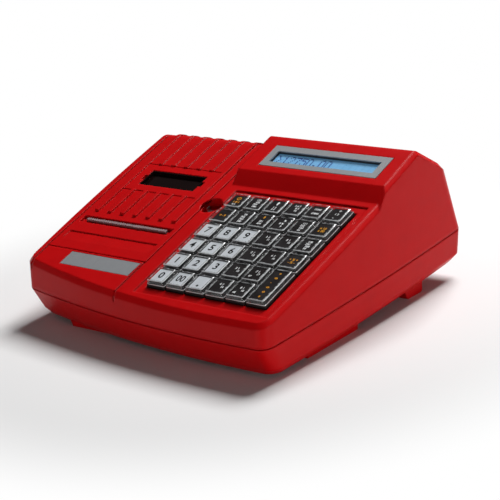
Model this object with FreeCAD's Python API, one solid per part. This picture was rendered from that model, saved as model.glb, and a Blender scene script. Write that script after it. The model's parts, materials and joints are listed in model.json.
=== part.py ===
import FreeCAD, Part
import math
import os

Vector = FreeCAD.Vector

# A small desktop ticket register: two plastic shells, a hinged printer lid on the left, a sloping
# keypad on the right and a raised display housing behind it.
# Lengths are millimetres and angles degrees. The case is drawn with its parting line level: X runs
# to the right, Y to the rear from the foremost point of the parting line, Z up from that line.
# The finished pieces are then tipped by the feet and stood on the floor.

# Across the front: printer lid, middle strip and keypad field between the two sides
lid_side = 10.5
lid_wide = 106.8
middle_strip = 14.9
key_pitch = 19.05
key_rows = 6
key_columns = 6
field_rim = 6.35
field_end = 7.85
field_side = 8.8
field_wide = key_columns * key_pitch + 2 * field_rim
field_long = key_rows * key_pitch + 2 * field_end
case_wide = lid_side + lid_wide + middle_strip + field_wide + field_side
lid_left = -case_wide / 2 + lid_side
lid_right = lid_left + lid_wide
keypad_x = case_wide / 2 - field_side - field_wide / 2

# Plan outline at the parting line
case_deep = 246.0
side_bow = 3.5
front_bow_radius = 988.0
front_apex_x = 82.0
case_corner = 10.0

# Shells
wall = 2.5
inner_corner = 5.0
edge_chamfer = 3.0
edge_round = 5.0
front_lean = 8.0
side_lean = 1.0
rear_lean = 11.4
seam_gap = 0.6
tongue_inset = 1.3
tongue_high = 1.5
tongue_gap = 0.2
overrun = 4.0
fit_gap = 0.3
seat_gap = 0.1

# Upper case: front plane, rear roof and raised display housing
top_front_high = 16.0
top_slope = 15.0
roof_fall = 35.2
apex_along = 206.6
apex_round = 12.0
block_high = 92.0
hump_gap = 6.1
hump_left = lid_right + hump_gap
hump_along = 149.9
hump_setback = 11.9
hump_rise = 7.5
hump_round = 6.0
display_slope = 16.2
display_long = 45.7

# Lower case
band_low = 19.5
base_deep = 24.5
band_front_in = 8.0
band_side_in = 1.4
band_rear_in = 3.0
floor_front_in = 11.5
floor_side_in = 5.5
floor_rear_in = 8.0
rear_round = 24.0

# Feet
case_tilt = 2.7
foot_round = 2.5
foot_flare = 2.5
front_foot_y = 26.2
front_foot_high = 3.8
left_foot_in = 44.7
left_foot_wide = 42.0
left_foot_long = 34.0
right_foot_y = 53.0
right_foot_long = 59.0
side_foot_in = 12.3
side_foot_wide = 16.0
rear_foot_y = 172.0
rear_foot_long = 26.0
rear_foot_taper = 6.0

# Case screws and their bosses
screw_radius = 1.5
screw_head_radius = 2.8
screw_sunk = 1.8
screw_bite = 7.0
boss_half = 4.0
boss_front_in = 17.0
boss_right_in = 20.0
boss_left_in = 34.0
boss_rear_in = 18.0

# Keypad field
keypad_along = 78.9
field_deep = 1.0
key_hole_gap = 0.8

# One key
key_wide = 18.4
key_skirt_low = 1.5
key_skirt_high = 1.5
key_shoulder = 17.8
key_top_wide = 15.5
key_top_high = 5.0
key_cover_wall = 0.9
key_cover_roof = 0.7
pedestal_high = 4.0
pedestal_wide = 12.8
pedestal_long = 14.0
stem_wide = 5.4
stem_low = 8.2
key_travel = 3.0

# Key switches and their board
key_end_gap = 0.5
switch_top_low = key_skirt_low + key_travel + key_end_gap
switch_body = 13.8
switch_bottom_low = 12.0
switch_floor = 0.4
keyboard_side = 4.05
keyboard_end = 0.05
keyboard_post_half = 1.8
keyboard_post_long = 38.0
board_thick = 1.6
display_post_half = 2.4

# Display
display_off = 0.95
bezel_wide = 112.2
bezel_side = 6.4
bezel_long = 25.9
bezel_thick = 1.0
bezel_proud = 0.3
bezel_along = 20.4
lcd_wide = bezel_wide - 2 * bezel_side
lcd_long = 14.2
lcd_along = 19.8
lcd_frame_wall = 2.0
lcd_sunk = 2.2
lcd_glass_thick = 1.1
lcd_board_side = 4.9
lcd_board_long = 32.0
lcd_board_low = 10.4

# Label plate
label_off = 13.4
label_wide = 73.2
label_along = 36.3
label_long = 15.2
label_thick = 0.8
label_deep = 0.7

# Grooves that run from the lid over the front edge
groove_wide = 1.5
groove_deep = 0.9
groove_drop = 6.5

# Printer lid
lid_front_along = 46.4
lid_tail = 16.0
lid_wall = 2.5
lid_gap = 0.5
rib_count = 7
rib_side = 11.7
rib_wide = 4.0
rib_rise = 1.4
ribs_front_along = 95.4
window_zone_along = 127.4
rear_zone_along = 162.6
window_zone_rise = 0.4
rear_zone_rise = 0.7
window_side = 23.8
window_long = 20.0
window_along = 144.9
window_flange = 2.0
window_thick = 1.5
window_rim = 1.2
window_clip_long = 6.0
window_clip_wide = 3.0
window_clip_deep = 1.5
slot_side = 5.4
slot_long = 8.2
slot_along = 83.8
slot_deep = 2.0
slot_floor = 1.6
paper_gap = 2.4
paper_side = 4.0
bar_side = 4.8
bar_thick = 2.2
bar_high = 1.9
bar_tooth_pitch = 2.4
bar_tooth_high = 0.7
tray_side = 6.05
tray_long = 11.5
tray_along = 62.1
tray_deep = 0.8
lid_skirt_thick = 1.5
lid_skirt_in = 4.2
lid_skirt_deep = 4.5

# Ledge under the lid
ledge_wide = 3.2
ledge_thick = 1.6

# Lid hinge
hinge_along_roof = 26.0
hinge_deep = 6.2
pin_radius = 1.5
pin_fit = 0.1
eye_radius = 3.6
arm_wide = 6.0
arm_inset = 10.0
ear_thick = 2.4
ear_half = 4.0
arm_root = 11.0

# Finger notch
notch_off = 6.1
notch_along = 121.7
notch_radius = 9.3
notch_deep = 7.0
notch_wall = 1.5
catch_wide = 4.0
catch_thick = 0.8
catch_high = 4.6
catch_long = 3.6

# Printer chassis
chassis_left_in = 7.5
chassis_right_in = 7.3
chassis_side = 2.4
chassis_plate = 2.0
chassis_low = 4.0
chassis_front = 60.0
chassis_rear = 181.0
chassis_under = 7.0
bay_y = 150.0
bay_z = 26.0
bay_radius = 27.0
bay_wall = 1.8
bay_lip = 6.0
roller_y = 78.0
roller_z = 20.0
roller_radius = 5.5
shaft_radius = 2.0
shaft_fit = 0.1
roller_end_gap = 1.0
nip_gap = 0.35
head_thick = 4.0
head_low = 9.0
head_high = 9.5
head_wall_thick = 2.0
front_rail_high = 14.0

# Printer gears and motor
gear_module = 0.8
platen_teeth = 21
idler_teeth = 22
pinion_teeth = 11
gear_thick = 3.0
gear_side_gap = 0.6
mesh_slack = 0.2
tooth_root_share = 0.56
tooth_tip_share = 0.24
addendum_share = 0.85
dedendum_share = 1.25
motor_half = 10.0
motor_y = 105.0
motor_long = 17.0
motor_shaft_radius = 1.0
motor_hole_radius = 2.0

# Boards, battery and sockets in the base
board_front = 92.0
board_rear = 230.0
board_side_in = 26.0
board_wide = 104.0
board_low = 6.0
inner_post_in = 8.0
inner_post_half = 3.5
chip_high = 2.4
processor_wide = 28.0
memory_wide = 14.0
memory_long = 24.0
header_wide = 28.0
header_long = 5.0
header_high = 7.0
capacitor_radius = 4.8
capacitor_high = 12.0
battery_in = 16.0
battery_front = 34.0
battery_wide = 71.0
battery_long = 50.0
battery_high = 14.5
rib_high = 7.0
inner_rib_thick = 1.6
socket_in = 30.0
socket_wide = 62.0
socket_long = 21.0
socket_high = 18.0
socket_rear_in = 4.5
port_wide = 12.0
port_high = 8.6
port_deep = 12.0
port_low = 7.6
port_spacing = 17.0
jack_radius = 3.2
jack_pin_radius = 1.0
vent_count = 9
vent_wide = 2.2
vent_long = 22.0
vent_pitch = 6.0
vent_in = 36.0
vent_y = 150.0

# Places that follow from the sizes above
lid_middle = (lid_left + lid_right) / 2
label_x = lid_middle + label_off
notch_x = lid_right + notch_off
rib_pitch = (lid_wide - 2 * rib_side) / (rib_count - 1)
window_wide = lid_wide - 2 * window_side
slot_wide = lid_wide - 2 * slot_side
paper_wide = slot_wide - 2 * paper_side
bar_wide = slot_wide - 2 * bar_side
tray_wide = lid_wide - 2 * tray_side
chassis_left = lid_left + chassis_left_in
chassis_right = lid_right - chassis_right_in
display_x = keypad_x - display_off
lcd_board_wide = bezel_wide + 2 * lcd_board_side
keyboard_half_wide = key_columns * key_pitch / 2 + keyboard_side
keyboard_half_long = key_rows * key_pitch / 2 + keyboard_end
right_foot_right = case_wide / 2 - side_foot_in
board_right = case_wide / 2 - board_side_in
board_left = board_right - board_wide
battery_left = board_left + battery_in
socket_left = board_left + socket_in
vent_x = board_left + vent_in


# General helpers

def tan(angle):
    return math.tan(math.radians(angle))


def heading(angle):
    """Direction in the side view: to the rear, turned up by the angle."""
    return Vector(0, math.cos(math.radians(angle)), math.sin(math.radians(angle)))


def inset(line, depth):
    """The line moved into the case by the depth; a line is a point and a rearward direction."""
    point, along = line
    return point + Vector(0, along.z, -along.y) * depth, along


def crossing(first, second):
    """Where two lines of the side view cross."""
    (p, u), (q, w) = first, second
    gap = q - p
    share = (gap.y * w.z - gap.z * w.y) / (u.y * w.z - u.z * w.y)
    return p + u * share


def round_over(corner, before, after, radius):
    """Three points of the arc that rounds a corner with arms in the two directions."""
    turn = math.pi - before.getAngle(after)
    reach = radius * math.tan(turn / 2)
    inward = (before + after).normalize()
    return (corner + before * reach,
            corner + inward * (radius / math.cos(turn / 2) - radius),
            corner + after * reach)


def loop(items):
    """Closed wire through points; a group of three points is an arc."""
    groups = [item if isinstance(item, tuple) else (item,) for item in items]
    edges = []
    for number, group in enumerate(groups):
        if len(group) == 3:
            edges.append(Part.Arc(*group).toShape())
        following = groups[(number + 1) % len(groups)][0]
        edges.append(Part.LineSegment(group[-1], following).toShape())
    return Part.Wire(edges)


def prism_x(items, left, right):
    """A side view profile drawn out along X."""
    solid = Part.Face(loop(items)).extrude(Vector(right - left, 0, 0))
    solid.translate(Vector(left, 0, 0))
    return solid


def box(left, right, front, rear, low, high):
    return Part.makeBox(right - left, rear - front, high - low, Vector(left, front, low))


def rod_x(left, right, y, z, radius):
    return Part.makeCylinder(radius, right - left, Vector(left, y, z), Vector(1, 0, 0))


def post(x, y, low, high, radius):
    return Part.makeCylinder(radius, high - low, Vector(x, y, low))


def slab(x, y, wide, long, low, high):
    """Block centred on x and y."""
    return box(x - wide / 2, x + wide / 2, y - long / 2, y + long / 2, low, high)


def pillar(x, y, low, high, half):
    """Square post centred on x and y."""
    return slab(x, y, 2 * half, 2 * half, low, high)


def frustum(x, y, low, low_wide, low_long, high, high_wide, high_long):
    """Block with a rectangular foot and top, centred on x and y."""
    wedge = Part.makeWedge(-low_wide / 2, low, -low_long / 2, -high_long / 2, -high_wide / 2,
                           low_wide / 2, high, low_long / 2, high_long / 2, high_wide / 2)
    wedge.rotate(Vector(0, 0, 0), Vector(1, 0, 0), 90)
    wedge.translate(Vector(x, y, 0))
    return wedge


def on_slope(shape):
    """From slope coordinates (right, up the slope, out of it) to the case."""
    placed = shape.copy()
    placed.rotate(Vector(0, 0, 0), Vector(1, 0, 0), top_slope)
    placed.translate(Vector(0, 0, top_front_high))
    return placed


def slope_point(along, out):
    return top_line[0] + top_line[1] * along + Vector(0, -top_line[1].z, top_line[1].y) * out


def on_display(shape):
    """From display coordinates, whose origin is the front edge of the display face."""
    placed = shape.copy()
    placed.rotate(Vector(0, 0, 0), Vector(1, 0, 0), display_slope)
    placed.translate(display_line[0])
    return placed


# Lines of the side view

top_line = (Vector(0, 0, top_front_high), heading(top_slope))
apex = slope_point(apex_along, 0)
roof_line = (apex, heading(-roof_fall))
hump_foot = slope_point(hump_along, 0)
hump_edge = slope_point(hump_along + hump_setback, hump_rise)
hump_front_line = (hump_foot, (hump_edge - hump_foot).normalize())
display_line = (hump_edge, heading(display_slope))
hump_roof_line = (hump_edge + heading(display_slope) * display_long, heading(-roof_fall))


# Plan outlines

def front_line(x):
    """How far behind the foremost point the parting line lies."""
    return front_bow_radius - math.sqrt(front_bow_radius ** 2 - (x - front_apex_x) ** 2)


def bowed_sides(front_in, side_in, rear_in, z):
    """The four sides of the plan outline, before their corners are rounded."""
    half = case_wide / 2 - side_in
    end = half - side_bow
    front_left = Vector(-end, front_line(-end) + front_in, z)
    front_right = Vector(end, front_line(end) + front_in, z)
    front_middle = Vector(0, front_line(0) + front_in, z)
    rear = case_deep - rear_in
    rear_right = Vector(end, rear, z)
    rear_left = Vector(-end, rear, z)
    right_middle = Vector(half, (front_right.y + rear) / 2, z)
    left_middle = Vector(-half, (front_left.y + rear) / 2, z)
    return [Part.Arc(front_left, front_middle, front_right).toShape(),
            Part.Arc(front_right, right_middle, rear_right).toShape(),
            Part.LineSegment(rear_right, rear_left).toShape(),
            Part.Arc(rear_left, left_middle, front_left).toShape()]


def rounded(sides, radius, flat):
    """The closed wire of the sides with an arc, or a flat, at each corner."""
    count = len(sides)
    cuts = []
    for number, side in enumerate(sides):
        following = sides[(number + 1) % count]
        turn = side.tangentAt(side.LastParameter).getAngle(following.tangentAt(following.FirstParameter))
        cuts.append(radius * math.tan(turn / 2))
    spans = []
    for number, side in enumerate(sides):
        start = cuts[number - 1]
        end = side.Length - cuts[number]
        places = [side.valueAt(side.getParameterByLength(at)) for at in (start, (start + end) / 2, end)]
        spans.append(places)
    edges = []
    for number, (first, middle, last) in enumerate(spans):
        corner = sides[number].valueAt(sides[number].LastParameter)
        after = spans[(number + 1) % count][0]
        inward = ((last - corner) + (after - corner)).normalize()
        half_turn = math.atan(cuts[number] / radius)
        bulge = corner + inward * (radius / math.cos(half_turn) - radius)
        edges.append(Part.Arc(first, middle, last).toShape() if number != 2
                     else Part.LineSegment(first, last).toShape())
        edges.append(Part.LineSegment(last, after).toShape() if flat
                     else Part.Arc(last, bulge, after).toShape())
    return Part.Wire(edges)


def stack(levels, corner, flat):
    """Solid through plan outlines; a level is its height and its front, side and rear insets."""
    wires = [rounded(bowed_sides(front, side, rear, z), corner, flat) for z, front, side, rear in levels]
    return Part.makeLoft(wires, True, True)


def hollow(levels):
    """Inner form through plan outlines, with flats across its corners."""
    return stack(levels, inner_corner, True)


# Upper case

def roof_profile(depth):
    """Side view of everything under the front plane and the rear roof."""
    top = inset(top_line, depth)
    roof = inset(roof_line, depth)
    front = Vector(0, -overrun, 0)
    rear = Vector(0, case_deep + overrun, 0)
    upright = Vector(0, 0, 1)
    arc = round_over(crossing(top, roof), -top[1], roof[1], apex_round - depth)
    return [front - upright * base_deep, crossing(top, (front, upright)), arc,
            crossing(roof, (rear, upright)), rear - upright * base_deep]


def hump_profile(depth):
    """Side view of the display housing, down into the case below it."""
    front = inset(hump_front_line, depth)
    face = inset(display_line, depth)
    roof = inset(hump_roof_line, depth)
    level = (Vector(0, 0, top_front_high), Vector(0, 1, 0))
    rear = (Vector(0, case_deep + overrun, 0), Vector(0, 0, 1))
    arc = round_over(crossing(face, roof), -face[1], roof[1], hump_round - depth)
    return [crossing(front, level), crossing(front, face), arc, crossing(roof, rear), crossing(level, rear)]


def upper_block(depth, low):
    """The leaning walls of the upper case, all moved inward by the depth."""
    levels = [(z, z * tan(front_lean) + depth, z * tan(side_lean) + depth, z * tan(rear_lean) + depth)
              for z in (low, block_high)]
    return hollow(levels) if depth else stack(levels, case_corner, False)


def upper_form(depth, low):
    block = upper_block(depth, low)
    body = block.common(prism_x(roof_profile(depth), -case_wide, case_wide))
    hump = block.common(prism_x(hump_profile(depth), hump_left + depth, case_wide))
    return body.fuse(hump).removeSplitter()


def boss_places():
    """Plan places of the four case screws."""
    rear = case_deep - boss_rear_in
    across = (case_wide / 2 - boss_right_in, -case_wide / 2 + boss_left_in)
    return [(x, y) for x in across for y in (front_line(x) + boss_front_in, rear)]


def rounded_form():
    """The outer form with chamfered side and front edges."""
    form = upper_form(0, 0)
    chosen = []
    for edge in form.Edges:
        middle = edge.valueAt((edge.FirstParameter + edge.LastParameter) / 2)
        bounds = edge.BoundBox
        at_side = abs(middle.x) > case_wide / 2 - case_corner and bounds.YLength > edge_round
        at_front = middle.y < front_line(middle.x) + case_corner and bounds.ZLength < case_corner
        rises = bounds.ZLength > bounds.YLength and bounds.YLength < case_corner
        if middle.z > edge_round and (at_side or at_front) and not rises:
            chosen.append(edge)
    return form.makeChamfer(edge_chamfer, chosen)


def key_places():
    """Row, column, rows covered and plan centre of each key; row 1 is the front one."""
    places = []
    for row in range(key_rows):
        for column in range(key_columns):
            tall = column == key_columns - 1 and row == 0
            if column == key_columns - 1 and row == 1:
                continue
            span = 2 if tall else 1
            x = keypad_x + (column - (key_columns - 1) / 2) * key_pitch
            y = keypad_along + (row + (span - 1) / 2 - (key_rows - 1) / 2) * key_pitch
            places.append((row + 1, column + 1, span, x, y))
    return places


def roof_band(along, tail, outer, inner):
    """Side view of a layer that follows the front plane and wraps over the apex onto the roof."""
    paths = []
    for depth in (outer, inner):
        top = inset(top_line, depth)
        roof = inset(roof_line, depth)
        arc = round_over(crossing(top, roof), -top[1], roof[1], apex_round - depth)
        paths.append([top[0] + top[1] * along, arc, roof[0] + roof[1] * tail])
    outer_path, inner_path = paths
    return outer_path + [inner_path[2], tuple(reversed(inner_path[1])), inner_path[0]]


def front_groove(x):
    """Cutter for a groove in the front panel that runs over the front edge."""
    top = top_line
    lean = Vector(0, -math.sin(math.radians(front_lean)), -math.cos(math.radians(front_lean)))
    face = (Vector(0, front_line(x), 0), -lean)
    paths = []
    for depth in (-overrun, groove_deep):
        top_in = inset(top, depth)
        face_in = (face[0] + Vector(0, depth / math.cos(math.radians(front_lean)), 0), face[1])
        corner = crossing(top_in, face_in)
        arc = round_over(corner, top_in[1], lean, edge_round - depth)
        start = top_in[0] + top_in[1] * (lid_front_along - lid_gap)
        paths.append([start, arc, crossing(top, face) + lean * groove_drop
                      + Vector(0, depth, 0)])
    outer_path, inner_path = paths
    items = outer_path + [inner_path[2], tuple(reversed(inner_path[1])), inner_path[0]]
    return prism_x(items, x - groove_wide / 2, x + groove_wide / 2)


def hinge_place():
    return inset(roof_line, hinge_deep)[0] + roof_line[1] * hinge_along_roof


def arm_spans():
    """Left and right sides of the two lid arms."""
    left = lid_left + arm_inset
    right = lid_right - arm_inset - arm_wide
    return [(left, left + arm_wide), (right, right + arm_wide)]


def lid_opening():
    """Cutter for the strip of the cover that the lid fills, with slots for its arms."""
    opening = prism_x(roof_band(lid_front_along - lid_gap, lid_tail + lid_gap, -overrun, wall + overrun),
                      lid_left - lid_gap, lid_right + lid_gap)
    hinge = hinge_place()
    reach = roof_line[1] * (hinge_along_roof + eye_radius + lid_gap)
    for left, right in arm_spans():
        slot = prism_x([roof_line[0] + Vector(0, 0, overrun), roof_line[0] + reach + Vector(0, 0, overrun),
                        roof_line[0] + reach - Vector(0, 0, hinge_deep), hinge - Vector(0, eye_radius, 0)],
                       left - lid_gap, right + lid_gap)
        opening = opening.fuse(slot)
    return opening


def lid_ledge():
    """Rim under the opening, on which the closed lid rests."""
    low = -lid_wall - fit_gap - ledge_thick
    high = -lid_wall - fit_gap
    left = lid_left - lid_gap
    right = lid_right + lid_gap
    front = lid_front_along - lid_gap
    rear = rear_zone_along
    ledge = box(left - wall, right + wall, front - wall, rear, low, high)
    ledge = ledge.cut(box(left + ledge_wide, right - ledge_wide, front + ledge_wide, rear + overrun,
                          low - overrun, high + overrun))
    skirt = box(left - wall, right + wall, front - wall, rear, high, -wall / 2)
    skirt = skirt.cut(box(left, right, front, rear + overrun, high - overrun, overrun))
    return on_slope(ledge.fuse(skirt))


def hinge_ears(form):
    """Two ears under the roof, outside the lid's arms, and the bore that holds the hinge pin."""
    place = hinge_place()
    arms = arm_spans()
    ears = []
    for start in (arms[0][0] - fit_gap - ear_thick, arms[1][1] + fit_gap):
        ear = box(start, start + ear_thick, place.y - ear_half, place.y + ear_half,
                  place.z - ear_half, place.z + apex_round)
        ears.append(ear.common(form))
    bore = rod_x(lid_left, lid_right, place.y, place.z, pin_radius)
    return ears, bore


def notch_cup():
    """Round cup under the finger notch, and the cutter that hollows it."""
    cup = post(notch_x, notch_along, -notch_deep - notch_wall, -wall / 2, notch_radius + notch_wall)
    lid_side = box(lid_left, lid_right + lid_gap, 0, apex_along, -lid_wall - fit_gap, overrun)
    scoop = post(notch_x, notch_along, -notch_deep, overrun, notch_radius)
    return on_slope(cup.cut(lid_side)), on_slope(scoop)


def top_cover():
    form = rounded_form()
    shell = form.cut(upper_form(wall, -overrun))
    rebate = tongue_inset - tongue_gap
    shell = shell.cut(hollow([(z, rebate, rebate, rebate) for z in (-overrun, tongue_high + tongue_gap)]))
    ears, bore = hinge_ears(form)
    cup, scoop = notch_cup()
    additions = [lid_ledge().common(form), cup] + keyboard_posts() + display_posts()
    for x, y in boss_places():
        additions.append(pillar(x, y, 0, block_high, boss_half).common(form))
    shell = shell.cut(lid_opening()).fuse(additions)
    cuts = [scoop, front_groove(lid_left + groove_wide / 2), front_groove(lid_right - groove_wide / 2)]
    for x, y in boss_places():
        cuts.append(post(x, y, -overrun, screw_bite + fit_gap, screw_radius + seat_gap / 2))
    cuts += keypad_cuts() + display_cuts() + [label_cut(), socket_cut()]
    for cutter in cuts:
        shell = shell.cut(cutter)
    shell = shell.fuse(ears).cut(bore)
    return shell.removeSplitter()


def keypad_cuts():
    field = slab(keypad_x, keypad_along, field_wide, field_long, -field_deep, overrun)
    hole = slab(keypad_x, keypad_along, key_pitch * key_columns + key_hole_gap,
                key_pitch * key_rows + key_hole_gap, -wall - overrun, overrun)
    hump_side = on_slope(field).cut(prism_x(hump_profile(0), hump_left, case_wide))
    return [hump_side, on_slope(hole)]


def keyboard_posts():
    """Pillars under the cover that carry the keyboard's board at both sides."""
    reach = keyboard_half_wide - keyboard_post_half
    return [on_slope(pillar(keypad_x + sx * reach, keypad_along + sy * keyboard_post_long,
                            -switch_bottom_low, -wall / 2, keyboard_post_half))
            for sx in (-1, 1) for sy in (-1, 0, 1)]


def display_posts():
    """Pillars under the display face that carry the display board."""
    posts = []
    for sx in (-1, 1):
        for sy in (-1, 1):
            x = display_x + sx * (lcd_board_wide / 2 - display_post_half)
            y = lcd_along + sy * (lcd_board_long / 2 - display_post_half)
            posts.append(on_display(pillar(x, y, -lcd_board_low, -wall / 2, display_post_half)))
    return posts


def display_cuts():
    seat = slab(display_x, bezel_along, bezel_wide + 2 * fit_gap, bezel_long + 2 * fit_gap,
                bezel_proud - bezel_thick, overrun)
    rim = 2 * (lcd_frame_wall + fit_gap)
    window = slab(display_x, lcd_along, lcd_wide + rim, lcd_long + rim, -wall - overrun, overrun)
    return [on_display(seat), on_display(window)]


def label_cut():
    return on_slope(slab(label_x, label_along, label_wide + 2 * fit_gap, label_long + 2 * fit_gap,
                         -label_deep, overrun))


def socket_top():
    return socket_high - board_low + board_thick


def socket_cut():
    """Opening in the rear wall for the sockets, up from the parting line."""
    return box(socket_left - fit_gap, socket_left + socket_wide + fit_gap, case_deep - socket_long,
               case_deep + overrun, -overrun, socket_top() + fit_gap)


# Lower case

def base_levels(depth, high, raised):
    """Levels of the lower case up to the given height, above a floor that may be raised."""
    share = raised / (base_deep - band_low)
    up = (high + band_low) / (band_low - seam_gap)
    return [(high, band_front_in * (1 - up) + depth, band_side_in * (1 - up) + depth,
             band_rear_in * (1 - up) + depth),
            (-band_low, band_front_in + depth, band_side_in + depth, band_rear_in + depth),
            (-base_deep + raised,
             floor_front_in + (band_front_in - floor_front_in) * share + depth,
             floor_side_in + (band_side_in - floor_side_in) * share + depth,
             floor_rear_in + (band_rear_in - floor_rear_in) * share + depth)]


def base_profile(depth):
    """Side view of the lower case with its round rear edge."""
    centre = Vector(0, case_deep - rear_round, -seam_gap)
    radius = rear_round - depth
    low = centre.z - radius
    diagonal = (Vector(0, 1, 0) - Vector(0, 0, 1)).normalize()
    arc = (Vector(0, centre.y, low), centre + diagonal * radius, centre + Vector(0, radius, 0))
    return [Vector(0, -overrun, low), arc, Vector(0, centre.y + radius, overrun),
            Vector(0, -overrun, overrun)]


def base_form(depth, high, raised):
    levels = base_levels(depth, high, raised)
    form = hollow(levels) if depth else stack(levels, case_corner, False)
    return form.common(prism_x(base_profile(depth), -case_wide, case_wide))


def floor_plane(y):
    """Height of the floor under the tipped case."""
    return -base_deep - front_foot_high - (y - front_foot_y) * tan(case_tilt)


def trimmed_to_floor(foot):
    """The foot cut off level with the floor."""
    rear = case_deep + overrun
    keep = prism_x([Vector(0, -overrun, floor_plane(-overrun)), Vector(0, rear, floor_plane(rear)),
                    Vector(0, rear, 0), Vector(0, -overrun, 0)], -case_wide, case_wide)
    return foot.common(keep)


def front_feet():
    """Two shallow feet: a wide one on the left, a long one on the right."""
    inside = -base_deep + wall / 2
    feet = []
    for x, wide, front, long in ((-case_wide / 2 + left_foot_in + left_foot_wide / 2, left_foot_wide,
                                  front_foot_y, left_foot_long),
                                 (right_foot_right - side_foot_wide / 2, side_foot_wide,
                                  right_foot_y, right_foot_long)):
        foot = frustum(x, front + long / 2, floor_plane(front + long) - foot_flare, wide, long,
                       inside, wide + foot_flare, long + foot_flare)
        feet.append(trimmed_to_floor(foot))
    return feet


def rear_feet():
    """Two deep feet with a rounded trapezium side view."""
    inside = -base_deep + wall / 2
    low = floor_plane(rear_foot_y + rear_foot_long) - overrun
    front_low = Vector(0, rear_foot_y + rear_foot_taper, low)
    rear_low = Vector(0, rear_foot_y + rear_foot_long - rear_foot_taper / 2, low)
    items = [Vector(0, rear_foot_y, inside), front_low, rear_low,
             Vector(0, rear_foot_y + rear_foot_long, inside)]
    feet = []
    for left in (right_foot_right - side_foot_wide, -right_foot_right):
        foot = trimmed_to_floor(prism_x(items, left, left + side_foot_wide))
        bottom = [edge for edge in foot.Edges
                  if edge.BoundBox.XLength > wall and edge.CenterOfMass.z < inside - wall]
        feet.append(foot.makeFillet(foot_round, bottom))
    return feet


def screw_seat():
    """Height of the sunk screw heads."""
    return -base_deep + screw_sunk


def screw_wells():
    """Posts for the case screws, and their holes with a cone for the sunk head."""
    posts = []
    holes = []
    for x, y in boss_places():
        posts.append(pillar(x, y, -base_deep + wall / 2, 0, boss_half))
        head = screw_head_radius + seat_gap
        reach = screw_sunk + overrun
        holes.append(Part.makeCone(head + reach, screw_radius, reach + head - screw_radius,
                                   Vector(x, y, screw_seat() - reach)))
        holes.append(post(x, y, -base_deep - overrun, overrun, screw_radius + seat_gap / 2))
    return posts, holes


def inner_posts():
    """Posts on the floor of the base under the corners of the board and of the printer chassis."""
    posts = []
    under_board = (board_left, board_right, board_front, board_rear, board_low)
    under_chassis = (chassis_left, chassis_right, chassis_front, chassis_rear, chassis_low)
    for left, right, front, rear, low in (under_board, under_chassis):
        for x in (left + inner_post_in, right - inner_post_in):
            for y in (front + inner_post_in, rear - inner_post_in):
                posts.append(pillar(x, y, -base_deep + wall / 2, -low, inner_post_half))
    return posts


def battery_ribs():
    """Low walls on the floor that hold the battery in place."""
    left = battery_left - fit_gap
    right = battery_left + battery_wide + fit_gap
    front = battery_front - fit_gap
    rear = battery_front + battery_long + fit_gap
    low = -base_deep + wall / 2
    high = -base_deep + wall + rib_high
    frame = box(left - inner_rib_thick, right + inner_rib_thick, front - inner_rib_thick,
                rear + inner_rib_thick, low, high)
    return frame.cut(box(left, right, front, rear, low - overrun, high + overrun))


def base_shell():
    shell = base_form(0, -seam_gap, 0).cut(base_form(wall, overrun, wall))
    root = -seam_gap - wall
    ring = hollow([(z, tongue_inset, tongue_inset, tongue_inset) for z in (root, tongue_high)])
    ring = ring.cut(hollow([(z, wall, wall, wall) for z in (root - overrun, tongue_high + overrun)]))
    posts, holes = screw_wells()
    shell = shell.fuse([ring, battery_ribs()] + posts + inner_posts() + front_feet() + rear_feet())
    for hole in holes:
        shell = shell.cut(hole)
    for number in range(vent_count):
        y = vent_y + (number - (vent_count - 1) / 2) * vent_pitch
        slot = box(vent_x, vent_x + vent_long, y - vent_wide / 2, y + vent_wide / 2,
                   -base_deep - overrun, -base_deep + wall + overrun)
        shell = shell.cut(slot)
    return shell.removeSplitter()


def screws():
    """Four case screws, all alike, with sunk heads."""
    pieces = []
    head_high = screw_head_radius - screw_radius
    for x, y in boss_places():
        head = Part.makeCone(screw_head_radius, screw_radius, head_high, Vector(x, y, screw_seat()))
        shank = post(x, y, screw_seat() + head_high, screw_bite, screw_radius)
        pieces.append(head.fuse(shank))
    return pieces


# Keys

def key_pieces(x, y, span):
    """Dark body with its stem and its legend step, and the clear cover, in slope coordinates."""
    extra = (span - 1) * key_pitch
    skirt = frustum(x, y, -key_skirt_low, key_wide, key_wide + extra,
                    key_skirt_high, key_shoulder, key_shoulder + extra)
    step = slab(x, y, pedestal_wide, pedestal_long + extra, 0, pedestal_high)
    stem = pillar(x, y, -stem_low, 0, stem_wide / 2)
    body = skirt.fuse([step, stem]).removeSplitter()
    cover = frustum(x, y, key_skirt_high, key_shoulder, key_shoulder + extra,
                    key_top_high, key_top_wide, key_top_wide + extra)
    inner_low = key_shoulder - 2 * key_cover_wall
    inner_high = key_top_wide - 2 * key_cover_wall
    inside = frustum(x, y, key_skirt_high, inner_low, inner_low + extra,
                     key_top_high - key_cover_roof, inner_high, inner_high + extra)
    return [body, cover.cut(inside)]


def key_switches():
    """One switch housing under each key, standing on the keyboard's board."""
    housings = []
    for row, column, span, x, y in key_places():
        body = pillar(x, y, -switch_bottom_low, -switch_top_low, switch_body / 2)
        well = pillar(x, y, -switch_bottom_low + switch_floor, overrun, stem_wide / 2 + fit_gap)
        housings.append(on_slope(body.cut(well)))
    return housings


def keyboard_board():
    top = -switch_bottom_low
    return [on_slope(slab(keypad_x, keypad_along, 2 * keyboard_half_wide, 2 * keyboard_half_long,
                          top - board_thick, top))]


# Display

def display_bezel():
    plate = slab(display_x, bezel_along, bezel_wide, bezel_long, bezel_proud - bezel_thick, bezel_proud)
    window = slab(display_x, lcd_along, lcd_wide, lcd_long, -overrun, overrun)
    return [on_display(plate.cut(window))]


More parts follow.
